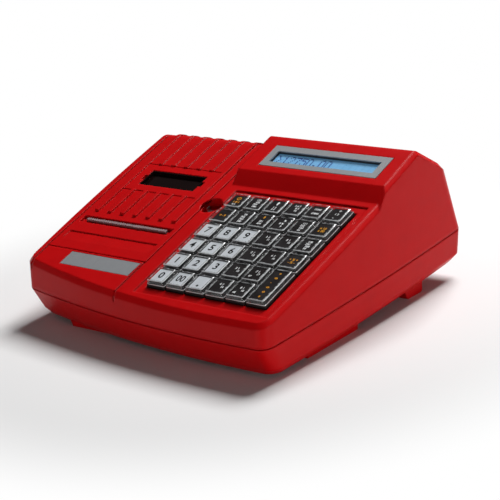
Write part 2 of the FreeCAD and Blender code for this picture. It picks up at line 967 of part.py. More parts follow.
def display_frame():
    """Black frame between the bezel and the display board."""
    top = bezel_proud - bezel_thick
    outer = slab(display_x, lcd_along, lcd_wide + 2 * lcd_frame_wall, lcd_long + 2 * lcd_frame_wall,
                 -lcd_board_low, top)
    inner = slab(display_x, lcd_along, lcd_wide, lcd_long, -lcd_board_low - overrun, top + overrun)
    return [on_display(outer.cut(inner))]


def lcd_module():
    """Board, light block and glass of the display."""
    glass_wide = lcd_wide - 2 * seat_gap
    glass_long = lcd_long - 2 * seat_gap
    glass_low = -lcd_sunk - lcd_glass_thick
    pieces = []
    board_bottom = -lcd_board_low - board_thick
    for wide, long, low, high in ((lcd_board_wide, lcd_board_long, board_bottom, -lcd_board_low),
                                  (glass_wide, glass_long, -lcd_board_low, glass_low),
                                  (glass_wide, glass_long, glass_low, -lcd_sunk)):
        pieces.append(on_display(slab(display_x, lcd_along, wide, long, low, high)))
    return pieces


def name_plate():
    return [on_slope(slab(label_x, label_along, label_wide, label_long,
                          -label_deep, label_thick - label_deep))]


# Printer lid

def rib_place(number):
    return lid_middle + (number - (rib_count - 1) / 2) * rib_pitch


def printer_lid():
    left = lid_left + lid_gap
    right = lid_right - lid_gap
    skin = prism_x(roof_band(lid_front_along + lid_gap, lid_tail, 0, lid_wall), left, right)
    additions = []
    for number in range(rib_count):
        x = rib_place(number)
        additions.append(prism_x(roof_band(ribs_front_along, lid_tail, -rib_rise, lid_wall / 2),
                                 x - rib_wide / 2, x + rib_wide / 2))
    inner_left = rib_place(0)
    inner_right = rib_place(rib_count - 1)
    additions.append(prism_x(roof_band(rear_zone_along, lid_tail, -rear_zone_rise, lid_wall / 2),
                             inner_left, inner_right))
    zone_left = inner_left + rib_wide / 2
    zone_right = inner_right - rib_wide / 2
    rib_clear = on_slope(box(zone_left, zone_right, window_zone_along, rear_zone_along,
                             window_zone_rise, rib_rise + overrun))
    zone = on_slope(box(inner_left, inner_right, window_zone_along, rear_zone_along + overrun,
                        -lid_wall / 2, window_zone_rise))
    block_low = -slot_deep - slot_floor
    block = on_slope(box(lid_middle - slot_wide / 2, lid_middle + slot_wide / 2, slot_along - slot_long / 2,
                         slot_along + slot_long / 2 + slot_floor, block_low, -lid_wall / 2))
    lid = skin.fuse(additions + [zone, block] + lid_skirts()).cut(tail_swing()).fuse(lid_arms())
    cuts = [rib_clear, window_cut(), slot_cut(), paper_cut(), tray_cut(), notch_bite()] + clip_cuts()
    for cutter in cuts:
        lid = lid.cut(cutter)
    return [lid.removeSplitter()]


def lid_skirts():
    """Stiffening walls under the lid, inside the ledge."""
    left = lid_left + lid_gap + lid_skirt_in
    right = lid_right - lid_gap - lid_skirt_in
    front = lid_front_along + lid_gap + lid_skirt_in
    rear = rear_zone_along
    low = -lid_wall - lid_skirt_deep
    frame = box(left, right, front, rear, low, -lid_wall / 2)
    frame = frame.cut(box(left + lid_skirt_thick, right - lid_skirt_thick, front + lid_skirt_thick,
                          rear + overrun, low - overrun, overrun))
    return [on_slope(frame)]


def tail_swing():
    """Cutter round the hinge that keeps the lid's tail clear of the roof edge as it opens."""
    place = hinge_place()
    roof_edge = roof_line[0] + roof_line[1] * (lid_tail + lid_gap)
    return rod_x(lid_left, lid_right, place.y, place.z, (roof_edge - place).Length + fit_gap)


def lid_arms():
    """Two arms that reach under the roof to the hinge pin."""
    place = hinge_place()
    arms = []
    normal_in = Vector(0, roof_line[1].z, -roof_line[1].y)
    top = roof_line[0] + normal_in * (lid_wall / 2)
    for left, right in arm_spans():
        eye = rod_x(left, right, place.y, place.z, eye_radius)
        web = prism_x([top + roof_line[1] * (lid_tail - arm_root), top + roof_line[1] * lid_tail,
                       place + normal_in * -eye_radius, place + normal_in * eye_radius,
                       place + normal_in * eye_radius - roof_line[1] * eye_radius], left, right)
        arms.append(eye.fuse(web).cut(rod_x(left - overrun, right + overrun, place.y, place.z,
                                            pin_radius + pin_fit)))
    return arms


def window_cut():
    return on_slope(slab(lid_middle, window_along, window_wide, window_long, -lid_wall - overrun, overrun))


def clip_cuts():
    """Pockets beside the window for the clips of its pane."""
    pockets = []
    for side in (-1, 1):
        x = lid_middle + side * (window_wide / 2 + window_clip_wide / 2 - seat_gap)
        pockets.append(on_slope(slab(x, window_along, window_clip_wide, window_clip_long,
                                     -window_clip_deep, overrun)))
    return pockets


def slot_cut():
    return on_slope(slab(lid_middle, slot_along, slot_wide, slot_long, -slot_deep, overrun))


def bar_rear():
    return slot_along + slot_long / 2 - paper_gap - seat_gap


def paper_cut():
    """The gap behind the tear bar, through which the paper leaves."""
    return on_slope(box(lid_middle - paper_wide / 2, lid_middle + paper_wide / 2, bar_rear() + seat_gap,
                        bar_rear() + seat_gap + paper_gap, -lid_wall - slot_floor - overrun, overrun))


def tray_cut():
    """Shallow wedge recess, deepest at its rear edge."""
    front = tray_along - tray_long / 2
    rear = tray_along + tray_long / 2
    return prism_x([slope_point(front, 0), slope_point(rear, -tray_deep), slope_point(rear, overrun),
                    slope_point(front, overrun)], lid_middle - tray_wide / 2, lid_middle + tray_wide / 2)


def notch_bite():
    """Round bite in the lid's right edge, with clearance round the cup."""
    bite = post(notch_x, notch_along, -lid_wall / 2, overrun, notch_radius)
    under = post(notch_x, notch_along, -lid_wall - lid_skirt_deep - overrun, -lid_wall / 2,
                 notch_radius + notch_wall + 2 * fit_gap)
    return on_slope(bite.fuse(under))


def lid_window():
    """Smoked pane with a rim that lines the opening and clips that sit in the pockets."""
    top = -lid_wall
    pane = slab(lid_middle, window_along, window_wide + 2 * window_flange, window_long + 2 * window_flange,
                top - window_thick, top)
    outer_wide = window_wide - 2 * seat_gap
    outer_long = window_long - 2 * seat_gap
    rim = slab(lid_middle, window_along, outer_wide, outer_long, top, 0)
    rim = rim.cut(slab(lid_middle, window_along, outer_wide - 2 * window_rim, outer_long - 2 * window_rim,
                       top, overrun))
    clips = []
    for side in (-1, 1):
        x = lid_middle + side * (window_wide / 2 + window_clip_wide / 4 - window_rim / 2)
        half = window_clip_wide / 4 + window_rim / 2
        clips.append(box(x - half, x + half, window_along - window_clip_long / 4,
                         window_along + window_clip_long / 4, -window_clip_deep, -window_clip_deep / 2))
    return [on_slope(pane.fuse([rim] + clips).removeSplitter())]


def tear_bar():
    """Serrated steel bar standing in the paper slot."""
    rear = bar_rear()
    front = rear - bar_thick
    low = -slot_deep
    high = low + bar_high
    count = int(bar_wide / bar_tooth_pitch)
    left = lid_middle - count * bar_tooth_pitch / 2
    items = [Vector(left, 0, low)]
    for number in range(count):
        start = left + number * bar_tooth_pitch
        items.append(Vector(start, 0, high))
        items.append(Vector(start + bar_tooth_pitch / 2, 0, high + bar_tooth_high))
    right = left + count * bar_tooth_pitch
    items += [Vector(right, 0, high), Vector(right, 0, low)]
    bar = Part.Face(loop(items)).extrude(Vector(0, rear - front, 0))
    bar.translate(Vector(0, front, 0))
    return [on_slope(bar)]


def lid_hinge_pin():
    place = hinge_place()
    left = lid_left + arm_inset - fit_gap - ear_thick
    right = lid_right - arm_inset + fit_gap + ear_thick
    return [rod_x(left, right, place.y, place.z, pin_radius)]


def lid_catch():
    """Spring steel catch standing on the floor of the finger notch."""
    low = -notch_deep
    left = notch_x - notch_radius / 2
    corners = ((0, 0), (catch_long, 0), (catch_long, catch_thick), (catch_thick, catch_thick),
               (catch_thick, catch_high), (0, catch_high))
    outline = loop([Vector(left + x, 0, low + z) for x, z in corners])
    strip = Part.Face(outline).extrude(Vector(0, catch_wide, 0))
    strip.translate(Vector(0, notch_along - catch_wide / 2, 0))
    return [on_slope(strip)]


# Printer

def chassis_side_profile():
    """Side plate under the sloping lid."""
    under = inset(top_line, chassis_under)
    front = (Vector(0, chassis_front, 0), Vector(0, 0, 1))
    rear = (Vector(0, chassis_rear, 0), Vector(0, 0, 1))
    low = (Vector(0, 0, -chassis_low), Vector(0, 1, 0))
    return [crossing(low, front), crossing(under, front), crossing(under, rear), crossing(low, rear)]


def chassis_inner():
    return chassis_left + chassis_side, chassis_right - chassis_side


def octagon(radius):
    """Side view of an octagon with flats at the radius, round the centre of the paper bay."""
    side = radius * math.tan(math.pi / 8)
    corners = ((side, radius), (radius, side), (radius, -side), (side, -radius),
               (-side, -radius), (-radius, -side), (-radius, side), (-side, radius))
    return [Vector(0, bay_y + y, bay_z + z) for y, z in corners]


def head_front():
    return roller_y + roller_radius + nip_gap


def printer_chassis():
    left, right = chassis_inner()
    profile = chassis_side_profile()
    plates = [prism_x(profile, chassis_left, left), prism_x(profile, right, chassis_right)]
    floor = box(left, right, chassis_front, chassis_rear, -chassis_low, -chassis_low + chassis_plate)
    rail = box(left, right, chassis_front, chassis_front + chassis_plate, -chassis_low,
               -chassis_low + front_rail_high)
    head_rear = head_front() + head_thick
    head_wall = box(left, right, head_rear, head_rear + head_wall_thick,
                    -chassis_low, head_low + 2 * head_high)
    trough = prism_x(octagon(bay_radius + bay_wall), left, right)
    above = box(left, right, bay_y - bay_radius * 2, bay_y + bay_radius * 2, bay_z, bay_z + bay_radius * 2)
    outer = bay_radius + bay_wall
    lip = box(left, right, bay_y - outer, bay_y + outer, bay_z, bay_z + bay_lip)
    chassis = floor.fuse(plates + [rail, head_wall, trough.cut(above), lip])
    chassis = chassis.cut(prism_x(octagon(bay_radius), left, right))
    chassis = chassis.cut(box(left, right, bay_y - bay_radius, bay_y + bay_radius,
                              bay_z, bay_z + bay_radius * 2))
    chassis = chassis.cut(rod_x(chassis_left - overrun, chassis_right + overrun, roller_y, roller_z,
                                shaft_radius + shaft_fit))
    place = motor_place()
    chassis = chassis.cut(rod_x(right - overrun, chassis_right + overrun, place.y, place.z,
                                motor_hole_radius))
    stub = idler_place()
    chassis = chassis.fuse(rod_x(right, chassis_right + gear_side_gap + gear_thick, stub.y, stub.z,
                                 shaft_radius))
    return [chassis.removeSplitter()]


def motor_place():
    return Vector(0, motor_y, -chassis_low + chassis_plate + motor_half)


def pitch_radius(teeth):
    return teeth * gear_module / 2


def idler_place():
    """Centre of the idler gear, which meshes with the platen gear and the pinion."""
    platen = Vector(0, roller_y, roller_z)
    motor = motor_place()
    first = pitch_radius(platen_teeth) + pitch_radius(idler_teeth) + mesh_slack
    second = pitch_radius(pinion_teeth) + pitch_radius(idler_teeth) + mesh_slack
    span = motor - platen
    along = (span.Length ** 2 + first ** 2 - second ** 2) / (2 * span.Length)
    off = math.sqrt(first ** 2 - along ** 2)
    direction = Vector(span).normalize()
    return platen + direction * along + Vector(0, -direction.z, direction.y) * off


def gear(centre, teeth, phase, bore):
    """Spur gear beside the chassis plate; a tooth lies at the phase angle."""
    radius = pitch_radius(teeth)
    tip = radius + gear_module * addendum_share
    root = radius - gear_module * dedendum_share
    pitch = 2 * math.pi / teeth
    items = []
    for number in range(teeth):
        middle = phase + number * pitch
        for share, reach in ((-tooth_root_share / 2, root), (-tooth_tip_share / 2, tip),
                             (tooth_tip_share / 2, tip), (tooth_root_share / 2, root)):
            angle = middle + share * pitch
            items.append(centre + Vector(0, math.cos(angle), math.sin(angle)) * reach)
    left = chassis_right + gear_side_gap
    body = prism_x(items, left, left + gear_thick)
    return body.cut(rod_x(left - overrun, left + gear_thick + overrun, centre.y, centre.z, bore))


def bearing(first, second):
    gap = second - first
    return math.atan2(gap.z, gap.y)


def gear_train():
    """Platen gear, idler and pinion, turned so that teeth meet gaps."""
    platen = Vector(0, roller_y, roller_z)
    idler = idler_place()
    motor = motor_place()
    idler_pitch = 2 * math.pi / idler_teeth
    toward_platen = bearing(idler, platen)
    toward_motor = bearing(idler, motor)
    gears = [gear(idler, idler_teeth, 0, shaft_radius + shaft_fit)]
    for centre, teeth, angle, bore in ((platen, platen_teeth, toward_platen, shaft_radius),
                                       (motor, pinion_teeth, toward_motor, motor_shaft_radius)):
        lead = -angle / idler_pitch
        phase = angle + math.pi + (0.5 - lead) * 2 * math.pi / teeth
        gears.append(gear(centre, teeth, phase, bore))
    return gears


def platen_roller():
    """Rubber sleeve on its steel shaft."""
    left, right = chassis_inner()
    gear_end = chassis_right + gear_side_gap + gear_thick
    shaft = rod_x(chassis_left - gear_side_gap, gear_end + gear_side_gap, roller_y, roller_z, shaft_radius)
    sleeve = rod_x(left + roller_end_gap, right - roller_end_gap, roller_y, roller_z, roller_radius)
    sleeve = sleeve.cut(rod_x(left, right, roller_y, roller_z, shaft_radius))
    return [shaft, sleeve]


def print_head():
    """Heater strip on its metal plate, seated on the wall behind it."""
    left, right = chassis_inner()
    front = head_front()
    inner = 2 * roller_end_gap
    strip = box(left + inner, right - inner, front, front + head_thick / 4, roller_z - head_high / 2,
                roller_z + head_high / 2)
    plate = box(left + inner, right - inner, front + head_thick / 4, front + head_thick, head_low,
                head_low + 2 * head_high)
    return [strip, plate]


def stepper_motor():
    """Square motor whose face lies against the chassis plate."""
    place = motor_place()
    right = chassis_inner()[1]
    body = box(right - motor_long, right, place.y - motor_half, place.y + motor_half,
               place.z - motor_half, place.z + motor_half)
    return [body.cut(rod_x(right - motor_long / 2, right + overrun, place.y, place.z,
                          motor_shaft_radius + shaft_fit))]


def motor_pinion():
    place = motor_place()
    right = chassis_inner()[1]
    end = chassis_right + gear_side_gap + gear_thick
    shaft = rod_x(right - motor_long / 2 + gear_side_gap, end, place.y, place.z, motor_shaft_radius)
    return [gear_train()[2], shaft]


# Electronics

def main_board():
    """Board with its chips, capacitor and cable header."""
    board = box(board_left, board_right, board_front, board_rear, -board_low, -board_low + board_thick)
    top = -board_low + board_thick
    middle_x = (board_left + board_right) / 2
    middle_y = (board_front + board_rear) / 2
    processor = slab(middle_x, middle_y, processor_wide, processor_wide, top, top + chip_high)
    memory = slab(middle_x + processor_wide, middle_y, memory_wide, memory_long, top, top + chip_high)
    header = slab(middle_x, board_front + header_long, header_wide, header_long, top, top + header_high)
    capacitor = post(middle_x - processor_wide, middle_y, top, top + capacitor_high, capacitor_radius)
    return [board, processor, memory, header, capacitor]


def rear_sockets():
    """Power jack and two data ports, in one block on the rear edge of the board."""
    top = -board_low + board_thick
    rear = case_deep - socket_rear_in
    block = box(socket_left, socket_left + socket_wide, rear - socket_long, rear, top, socket_top())
    low = top + port_low
    port_left = socket_left + socket_wide - 2 * port_spacing
    for number in range(2):
        left = port_left + number * port_spacing
        block = block.cut(box(left, left + port_wide, rear - port_deep, rear + overrun,
                              low, low + port_high))
    jack = Vector(socket_left + port_spacing / 2, rear - port_deep, low + port_high / 2)
    hole = Part.makeCylinder(jack_radius, port_deep + overrun, jack, Vector(0, 1, 0))
    pin = Part.makeCylinder(jack_pin_radius, port_deep - jack_radius, jack, Vector(0, 1, 0))
    return [block.cut(hole).fuse(pin).removeSplitter()]


def battery_pack():
    """Wrapped block of cells on the floor of the base."""
    return [box(battery_left, battery_left + battery_wide, battery_front, battery_front + battery_long,
                -base_deep + wall, -base_deep + wall + battery_high)]


# All pieces

def build():
    """Node names and their solids, in case coordinates."""
    gears = gear_train()
    nodes = {
        "top_cover": [top_cover()],
        "base_shell": [base_shell()],
        "printer_lid": printer_lid(),
        "lid_window": lid_window(),
        "tear_bar": tear_bar(),
        "lid_hinge_pin": lid_hinge_pin(),
        "lid_catch": lid_catch(),
        "label_plate": name_plate(),
        "display_bezel": display_bezel(),
        "display_frame": display_frame(),
        "lcd_module": lcd_module(),
        "key_switches": key_switches(),
        "keyboard_board": keyboard_board(),
        "main_board": main_board(),
        "rear_sockets": rear_sockets(),
        "battery_pack": battery_pack(),
        "printer_chassis": printer_chassis(),
        "print_head": print_head(),
        "platen_roller": platen_roller(),
        "platen_gear": [gears[1]],
        "idler_gear": [gears[0]],
        "motor_pinion": motor_pinion(),
        "stepper_motor": stepper_motor(),
        "screws": screws(),
    }
    for row, column, span, x, y in key_places():
        name = "key_row%d_column%d" % (row, column)
        nodes[name] = [on_slope(piece) for piece in key_pieces(x, y, span)]
    return nodes


def stood_on_floor(shape):
    """Tip the case on its feet and put the middle of its footprint over the origin."""
    placed = shape.copy()
    placed.rotate(Vector(0, 0, 0), Vector(1, 0, 0), case_tilt)
    turn = math.radians(case_tilt)
    middle = case_deep / 2 * math.cos(turn)
    low = floor_plane(0) * math.cos(turn)
    placed.translate(Vector(0, -middle, -low))
    return placed


def main():
    os.makedirs("parts", exist_ok=True)
    for name, pieces in build().items():
        placed = [stood_on_floor(piece) for piece in pieces]
        shape = placed[0] if len(placed) == 1 else Part.makeCompound(placed)
        shape.exportStep("parts/%s.step" % name)
        print(name, len(shape.Solids), "solids", "valid" if shape.isValid() else "NOT VALID")


main()
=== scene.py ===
import json
import math

import bpy
import bmesh
from mathutils import Matrix, Vector

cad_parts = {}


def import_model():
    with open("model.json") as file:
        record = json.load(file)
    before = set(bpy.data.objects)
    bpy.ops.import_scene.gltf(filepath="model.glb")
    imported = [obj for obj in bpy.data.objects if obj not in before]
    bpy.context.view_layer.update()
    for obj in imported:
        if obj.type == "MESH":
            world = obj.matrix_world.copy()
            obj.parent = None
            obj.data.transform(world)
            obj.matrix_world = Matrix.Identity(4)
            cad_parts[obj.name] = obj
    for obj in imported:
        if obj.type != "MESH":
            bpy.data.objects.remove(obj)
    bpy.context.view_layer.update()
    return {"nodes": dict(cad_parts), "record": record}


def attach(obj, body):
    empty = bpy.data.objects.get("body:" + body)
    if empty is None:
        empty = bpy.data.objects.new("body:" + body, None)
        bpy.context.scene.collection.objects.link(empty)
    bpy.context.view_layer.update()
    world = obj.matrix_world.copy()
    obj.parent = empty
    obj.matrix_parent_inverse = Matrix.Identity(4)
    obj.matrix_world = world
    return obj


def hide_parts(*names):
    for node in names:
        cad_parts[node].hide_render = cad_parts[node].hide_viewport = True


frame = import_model()

# Lengths below are millimetres in the case's own coordinates, as in the part's source: the keypad lies
# on a plane that rises by TOP_SLOPE, and the whole case is tipped forward by CASE_TILT.
MM = 0.001
CASE_TILT = 2.7
TOP_SLOPE = 15.0
TOP_FRONT_HIGH = 16.0
CASE_DEEP = 246.0
FLOOR_UNDER_FRONT = 27.0645
DISPLAY_SLOPE = 16.2
HUMP_ALONG = 161.8
HUMP_OUT = 7.5

KEY_PITCH = 19.05
KEYPAD_X = 61.7
KEYPAD_ALONG = 78.9
DISPLAY_X = 60.75
LCD_ALONG = 19.8


def turned(angle):
    return Matrix.Rotation(math.radians(angle), 4, "X")


def case_matrix():
    middle = CASE_DEEP / 2 * math.cos(math.radians(CASE_TILT))
    high = FLOOR_UNDER_FRONT * math.cos(math.radians(CASE_TILT))
    shift = Matrix.Translation(Vector((0, -middle, high)))
    return Matrix.Scale(MM, 4) @ shift @ turned(CASE_TILT)


CASE = case_matrix()
SLOPE = CASE @ Matrix.Translation(Vector((0, 0, TOP_FRONT_HIGH))) @ turned(TOP_SLOPE)
EDGE = (Matrix.Translation(Vector((0, 0, TOP_FRONT_HIGH))) @ turned(TOP_SLOPE)
        @ Vector((0, HUMP_ALONG, HUMP_OUT)))
DISPLAY = CASE @ Matrix.Translation(EDGE) @ turned(DISPLAY_SLOPE)


# Materials

BEVEL_SAMPLES = 6
# Most of a noise texture's values lie between these two.
NOISE_LOW, NOISE_HIGH = 0.3, 0.7
FINER = 3


def linear(red, green, blue):
    """Screen colour of 0 to 255 as the linear colour that a shader takes."""
    def one(value):
        share = value / 255
        return share / 12.92 if share <= 0.04045 else ((share + 0.055) / 1.055) ** 2.4
    return one(red), one(green), one(blue), 1.0


class Shader:
    """A principled surface whose colour, roughness and height vary a little by noise."""

    def __init__(self, name, colour, roughness, **settings):
        self.material = bpy.data.materials.new(name)
        self.material.use_nodes = True
        self.nodes = self.material.node_tree.nodes
        self.links = self.material.node_tree.links
        self.surface = self.nodes["Principled BSDF"]
        self.surface.inputs["Base Color"].default_value = colour
        self.surface.inputs["Roughness"].default_value = roughness
        for socket, value in settings.items():
            self.surface.inputs[socket.replace("_", " ")].default_value = value
        self.colour = colour
        self.roughness = roughness
        self.place = self.nodes.new("ShaderNodeTexCoord")

    def noise(self, scale, detail=3.0, stretch=None):
        texture = self.nodes.new("ShaderNodeTexNoise")
        texture.inputs["Scale"].default_value = scale
        texture.inputs["Detail"].default_value = detail
        source = self.place.outputs["Object"]
        if stretch:
            mapping = self.nodes.new("ShaderNodeMapping")
            mapping.inputs["Scale"].default_value = stretch
            self.links.new(source, mapping.inputs["Vector"])
            source = mapping.outputs["Vector"]
        self.links.new(source, texture.inputs["Vector"])
        return texture.outputs["Fac"]

    def ramp(self, source, low, high, from_low=NOISE_LOW, from_high=NOISE_HIGH):
        span = self.nodes.new("ShaderNodeMapRange")
        span.inputs["From Min"].default_value = from_low
        span.inputs["From Max"].default_value = from_high
        span.inputs["To Min"].default_value = low
        span.inputs["To Max"].default_value = high
        self.links.new(source, span.inputs["Value"])
        return span.outputs["Result"]

    def vary_colour(self, source, other):
        mix = self.nodes.new("ShaderNodeMix")
        mix.data_type = "RGBA"
        mix.inputs["A"].default_value = self.colour
        mix.inputs["B"].default_value = other
        self.links.new(self.ramp(source, 0.0, 1.0), mix.inputs["Factor"])
        self.links.new(mix.outputs["Result"], self.surface.inputs["Base Color"])

    def vary_roughness(self, source, spread):
        result = self.ramp(source, self.roughness - spread, self.roughness + spread)
        self.links.new(result, self.surface.inputs["Roughness"])

    def relief(self, source, height, rounding=0.0):
        bump = self.nodes.new("ShaderNodeBump")
        bump.inputs["Strength"].default_value = 1.0
        bump.inputs["Distance"].default_value = height
        self.links.new(source, bump.inputs["Height"])
        if rounding:
            bevel = self.nodes.new("ShaderNodeBevel")
            bevel.samples = BEVEL_SAMPLES
            bevel.inputs["Radius"].default_value = rounding
            self.links.new(bevel.outputs["Normal"], bump.inputs["Normal"])
        self.links.new(bump.outputs["Normal"], self.surface.inputs["Normal"])


def shade(name, colour, roughness, other=None, spread=0.06, scale=60.0, height=0.00002, grain=900.0,
          rounding=0.0, stretch=None, **settings):
    """The common recipe: broad noise tints the colour and roughness, and fine grain raises the surface."""
    made = Shader(name, colour, roughness, **settings)
    broad = made.noise(scale, stretch=stretch)
    if other:
        made.vary_colour(broad, other)
    made.vary_roughness(made.noise(scale * FINER, stretch=stretch), spread)
    made.relief(made.noise(grain, detail=2.0, stretch=stretch), height, rounding)
    return made.material


RED = linear(183, 6, 10)
RED_WORN = linear(177, 5, 9)
MATERIALS = {
    "red_plastic": shade("red_moulding", RED, 0.38, RED_WORN, 0.04, rounding=0.0024, height=0.000004,
                         grain=1400.0, Specular_IOR_Level=0.09),
    # The window pane is opaque and near-black: a smoked pane with painted shade of the dim paper bay behind
    # it.
    "smoked_window": shade("smoked_pane_painted_shade", linear(16, 6, 6), 0.12, linear(20, 8, 8), 0.03, rounding=0.0002,
                           Specular_IOR_Level=0.25),
    "steel": shade("brushed_steel", linear(170, 165, 165), 0.3, linear(140, 132, 132), 0.08,
                   stretch=(1.0, 30.0, 30.0), Metallic=1.0),
    "silver_plate": shade("satin_silver", linear(160, 162, 165), 0.38, linear(148, 150, 153), 0.07,
                          stretch=(40.0, 2.0, 2.0), height=0.000004, Metallic=0.35),
    "black_plastic": shade("black_moulding", linear(28, 26, 27), 0.45, linear(38, 35, 36)),
    "circuit_board": shade("solder_mask", linear(18, 84, 46), 0.35, linear(14, 66, 38)),
    "cell_wrap": shade("cell_wrap", linear(40, 112, 62), 0.3, linear(34, 96, 52)),
    "grey_plastic": shade("grey_moulding", linear(70, 70, 74), 0.5, linear(60, 60, 64)),
    "aluminium": shade("bare_aluminium", linear(190, 190, 194), 0.35, linear(172, 172, 176), Metallic=1.0),
    "roller_rubber": shade("ground_rubber", linear(44, 43, 44), 0.8, linear(56, 55, 55), height=0.00004),
    "gear_plastic": shade("gear_nylon", linear(222, 220, 208), 0.45, linear(206, 203, 190)),
    "brass": shade("turned_brass", linear(205, 168, 92), 0.3, linear(186, 148, 76), Metallic=1.0),
    "motor_steel": shade("plated_steel", linear(176, 176, 180), 0.28, linear(154, 154, 158), Metallic=1.0),
}
# The CAD meshes of these slots give way to dressed ones, so their finish is never seen.
for slot_name in ("display_glass", "key_white", "key_black"):
    MATERIALS[slot_name] = MATERIALS["black_plastic"]

LID_RED = shade("red_lid_moulding", RED, 0.38, RED_WORN, 0.04, rounding=0.0013, height=0.000002,
                grain=1400.0, Specular_IOR_Level=0.1)
# The tear bar's steel is drawn a dull reddish grey, less metallic than the brushed steel.
TEAR_STEEL = shade("reddish_tear_steel", linear(132, 108, 110), 0.6, linear(112, 90, 92), 0.08,
                   stretch=(1.0, 30.0, 30.0), Metallic=0.2, Specular_IOR_Level=0.2)
SKIRT = shade("key_skirt", linear(44, 41, 41), 0.4, linear(34, 32, 32), rounding=0.0002,
              Specular_IOR_Level=0.2)
TILE_WHITE = shade("tile_white", linear(206, 211, 216), 0.6, linear(197, 202, 207), height=0.000002,
                   Specular_IOR_Level=0.1)
TILE_BLACK = shade("tile_black", linear(27, 23, 24), 0.6, linear(32, 28, 29), height=0.000002,
                   Specular_IOR_Level=0.05)
INK_BLACK = shade("ink_black", linear(18, 18, 20), 0.6, linear(26, 26, 28), Specular_IOR_Level=0.05)
INK_WHITE = shade("ink_white", linear(240, 242, 244), 0.6, linear(228, 230, 232), Specular_IOR_Level=0.1)
INK_ORANGE = shade("ink_orange", linear(240, 168, 20), 0.6, linear(230, 154, 16), Specular_IOR_Level=0.1)
LCD_BLUE = shade("lcd_backlight", linear(107, 164, 206), 0.3, linear(98, 152, 196), 0.03, height=0.0,
                 Emission_Color=linear(107, 164, 206), Emission_Strength=0.24)
LCD_INK = shade("lcd_pixels", linear(24, 30, 132), 0.5, linear(30, 36, 138), 0.03, height=0.0,
                Specular_IOR_Level=0.1)
LCD_CELL = shade("lcd_cells", linear(116, 172, 212), 0.3, linear(108, 164, 204), 0.03, height=0.0,
                 Emission_Color=linear(116, 172, 212), Emission_Strength=0.24)
BOARD = MATERIALS["circuit_board"]


HEAD_ON_GLOSS = 0.04
GLOSS_POWER = 5.0
GLOSS_GRAIN = 150.0
SHINE_SPREAD = 0.3
VEIL_LOW, VEIL_HIGH = 0.42, 0.58


def clear_plastic(name, tint, shine, thin, thick, scale=90.0):
    """Clear plastic: a veil that varies over what lies below, under a gloss that grows at low angles. A
    thick, light veil is a painted highlight.
    """
    made = Shader(name, tint, shine)
    gloss = made.nodes.new("ShaderNodeBsdfGlossy")
    gloss.inputs["Color"].default_value = (1.0, 1.0, 1.0, 1.0)
    spread = shine * SHINE_SPREAD
    grain = made.ramp(made.noise(GLOSS_GRAIN), shine - spread, shine + spread)
    made.links.new(grain, gloss.inputs["Roughness"])
    clear = made.nodes.new("ShaderNodeBsdfTransparent")
    clear.inputs["Color"].default_value = (0.97, 0.97, 0.97, 1.0)
    veil = made.nodes.new("ShaderNodeMixShader")
    made.links.new(made.ramp(made.noise(scale), thin, thick, VEIL_LOW, VEIL_HIGH), veil.inputs["Fac"])
    made.links.new(clear.outputs["BSDF"], veil.inputs[1])
    made.links.new(made.surface.outputs["BSDF"], veil.inputs[2])
    weight = made.nodes.new("ShaderNodeLayerWeight")
    weight.inputs["Blend"].default_value = 0.5
    steep = made.nodes.new("ShaderNodeMath")
    steep.operation = "POWER"
    steep.inputs[1].default_value = GLOSS_POWER
    made.links.new(weight.outputs["Facing"], steep.inputs[0])
    mix = made.nodes.new("ShaderNodeMixShader")
    made.links.new(made.ramp(steep.outputs["Value"], HEAD_ON_GLOSS, 1.0, 0.0, 1.0), mix.inputs["Fac"])
    made.links.new(veil.outputs["Shader"], mix.inputs[1])
    made.links.new(gloss.outputs["BSDF"], mix.inputs[2])
    made.links.new(mix.outputs["Shader"], made.nodes["Material Output"].inputs["Surface"])
    return made.material


CLEAR = clear_plastic("clear_cap", linear(150, 150, 152), 0.06, 0.0, 0.03)
# The caps' side walls, top rim and edge bevels carry light grey veils: painted highlights of light caught in
# the clear plastic, not a colour of the plastic.
CLEAR_SIDE_PAINTED_HIGHLIGHT = clear_plastic("clear_cap_side_painted_highlight", linear(120, 120, 122), 0.12, 0.05, 0.3, 300.0)
CLEAR_RIM_PAINTED_HIGHLIGHT = clear_plastic("clear_cap_rim_painted_highlight", linear(190, 192, 194), 0.12, 0.02, 0.7, 420.0)
CLEAR_EDGE_PAINTED_HIGHLIGHT = clear_plastic("clear_cap_edge_painted_highlight", linear(228, 230, 232), 0.12, 0.7, 0.9)
LCD_GLASS = clear_plastic("lcd_cover_glass", linear(150, 180, 205), 0.05, 0.0, 0.02)

# Finish of the CAD pieces

OWN_FINISH = {"tear_bar": TEAR_STEEL, "printer_lid": LID_RED}
for item in frame["record"]["subparts"]:
    cad = frame["nodes"][item["node"]]
    finish = OWN_FINISH.get(item["node"], MATERIALS[item["material_slot"]])
    cad.data.materials.clear()
    cad.data.materials.append(finish)


# Meshes

CORNER_STEPS = 3


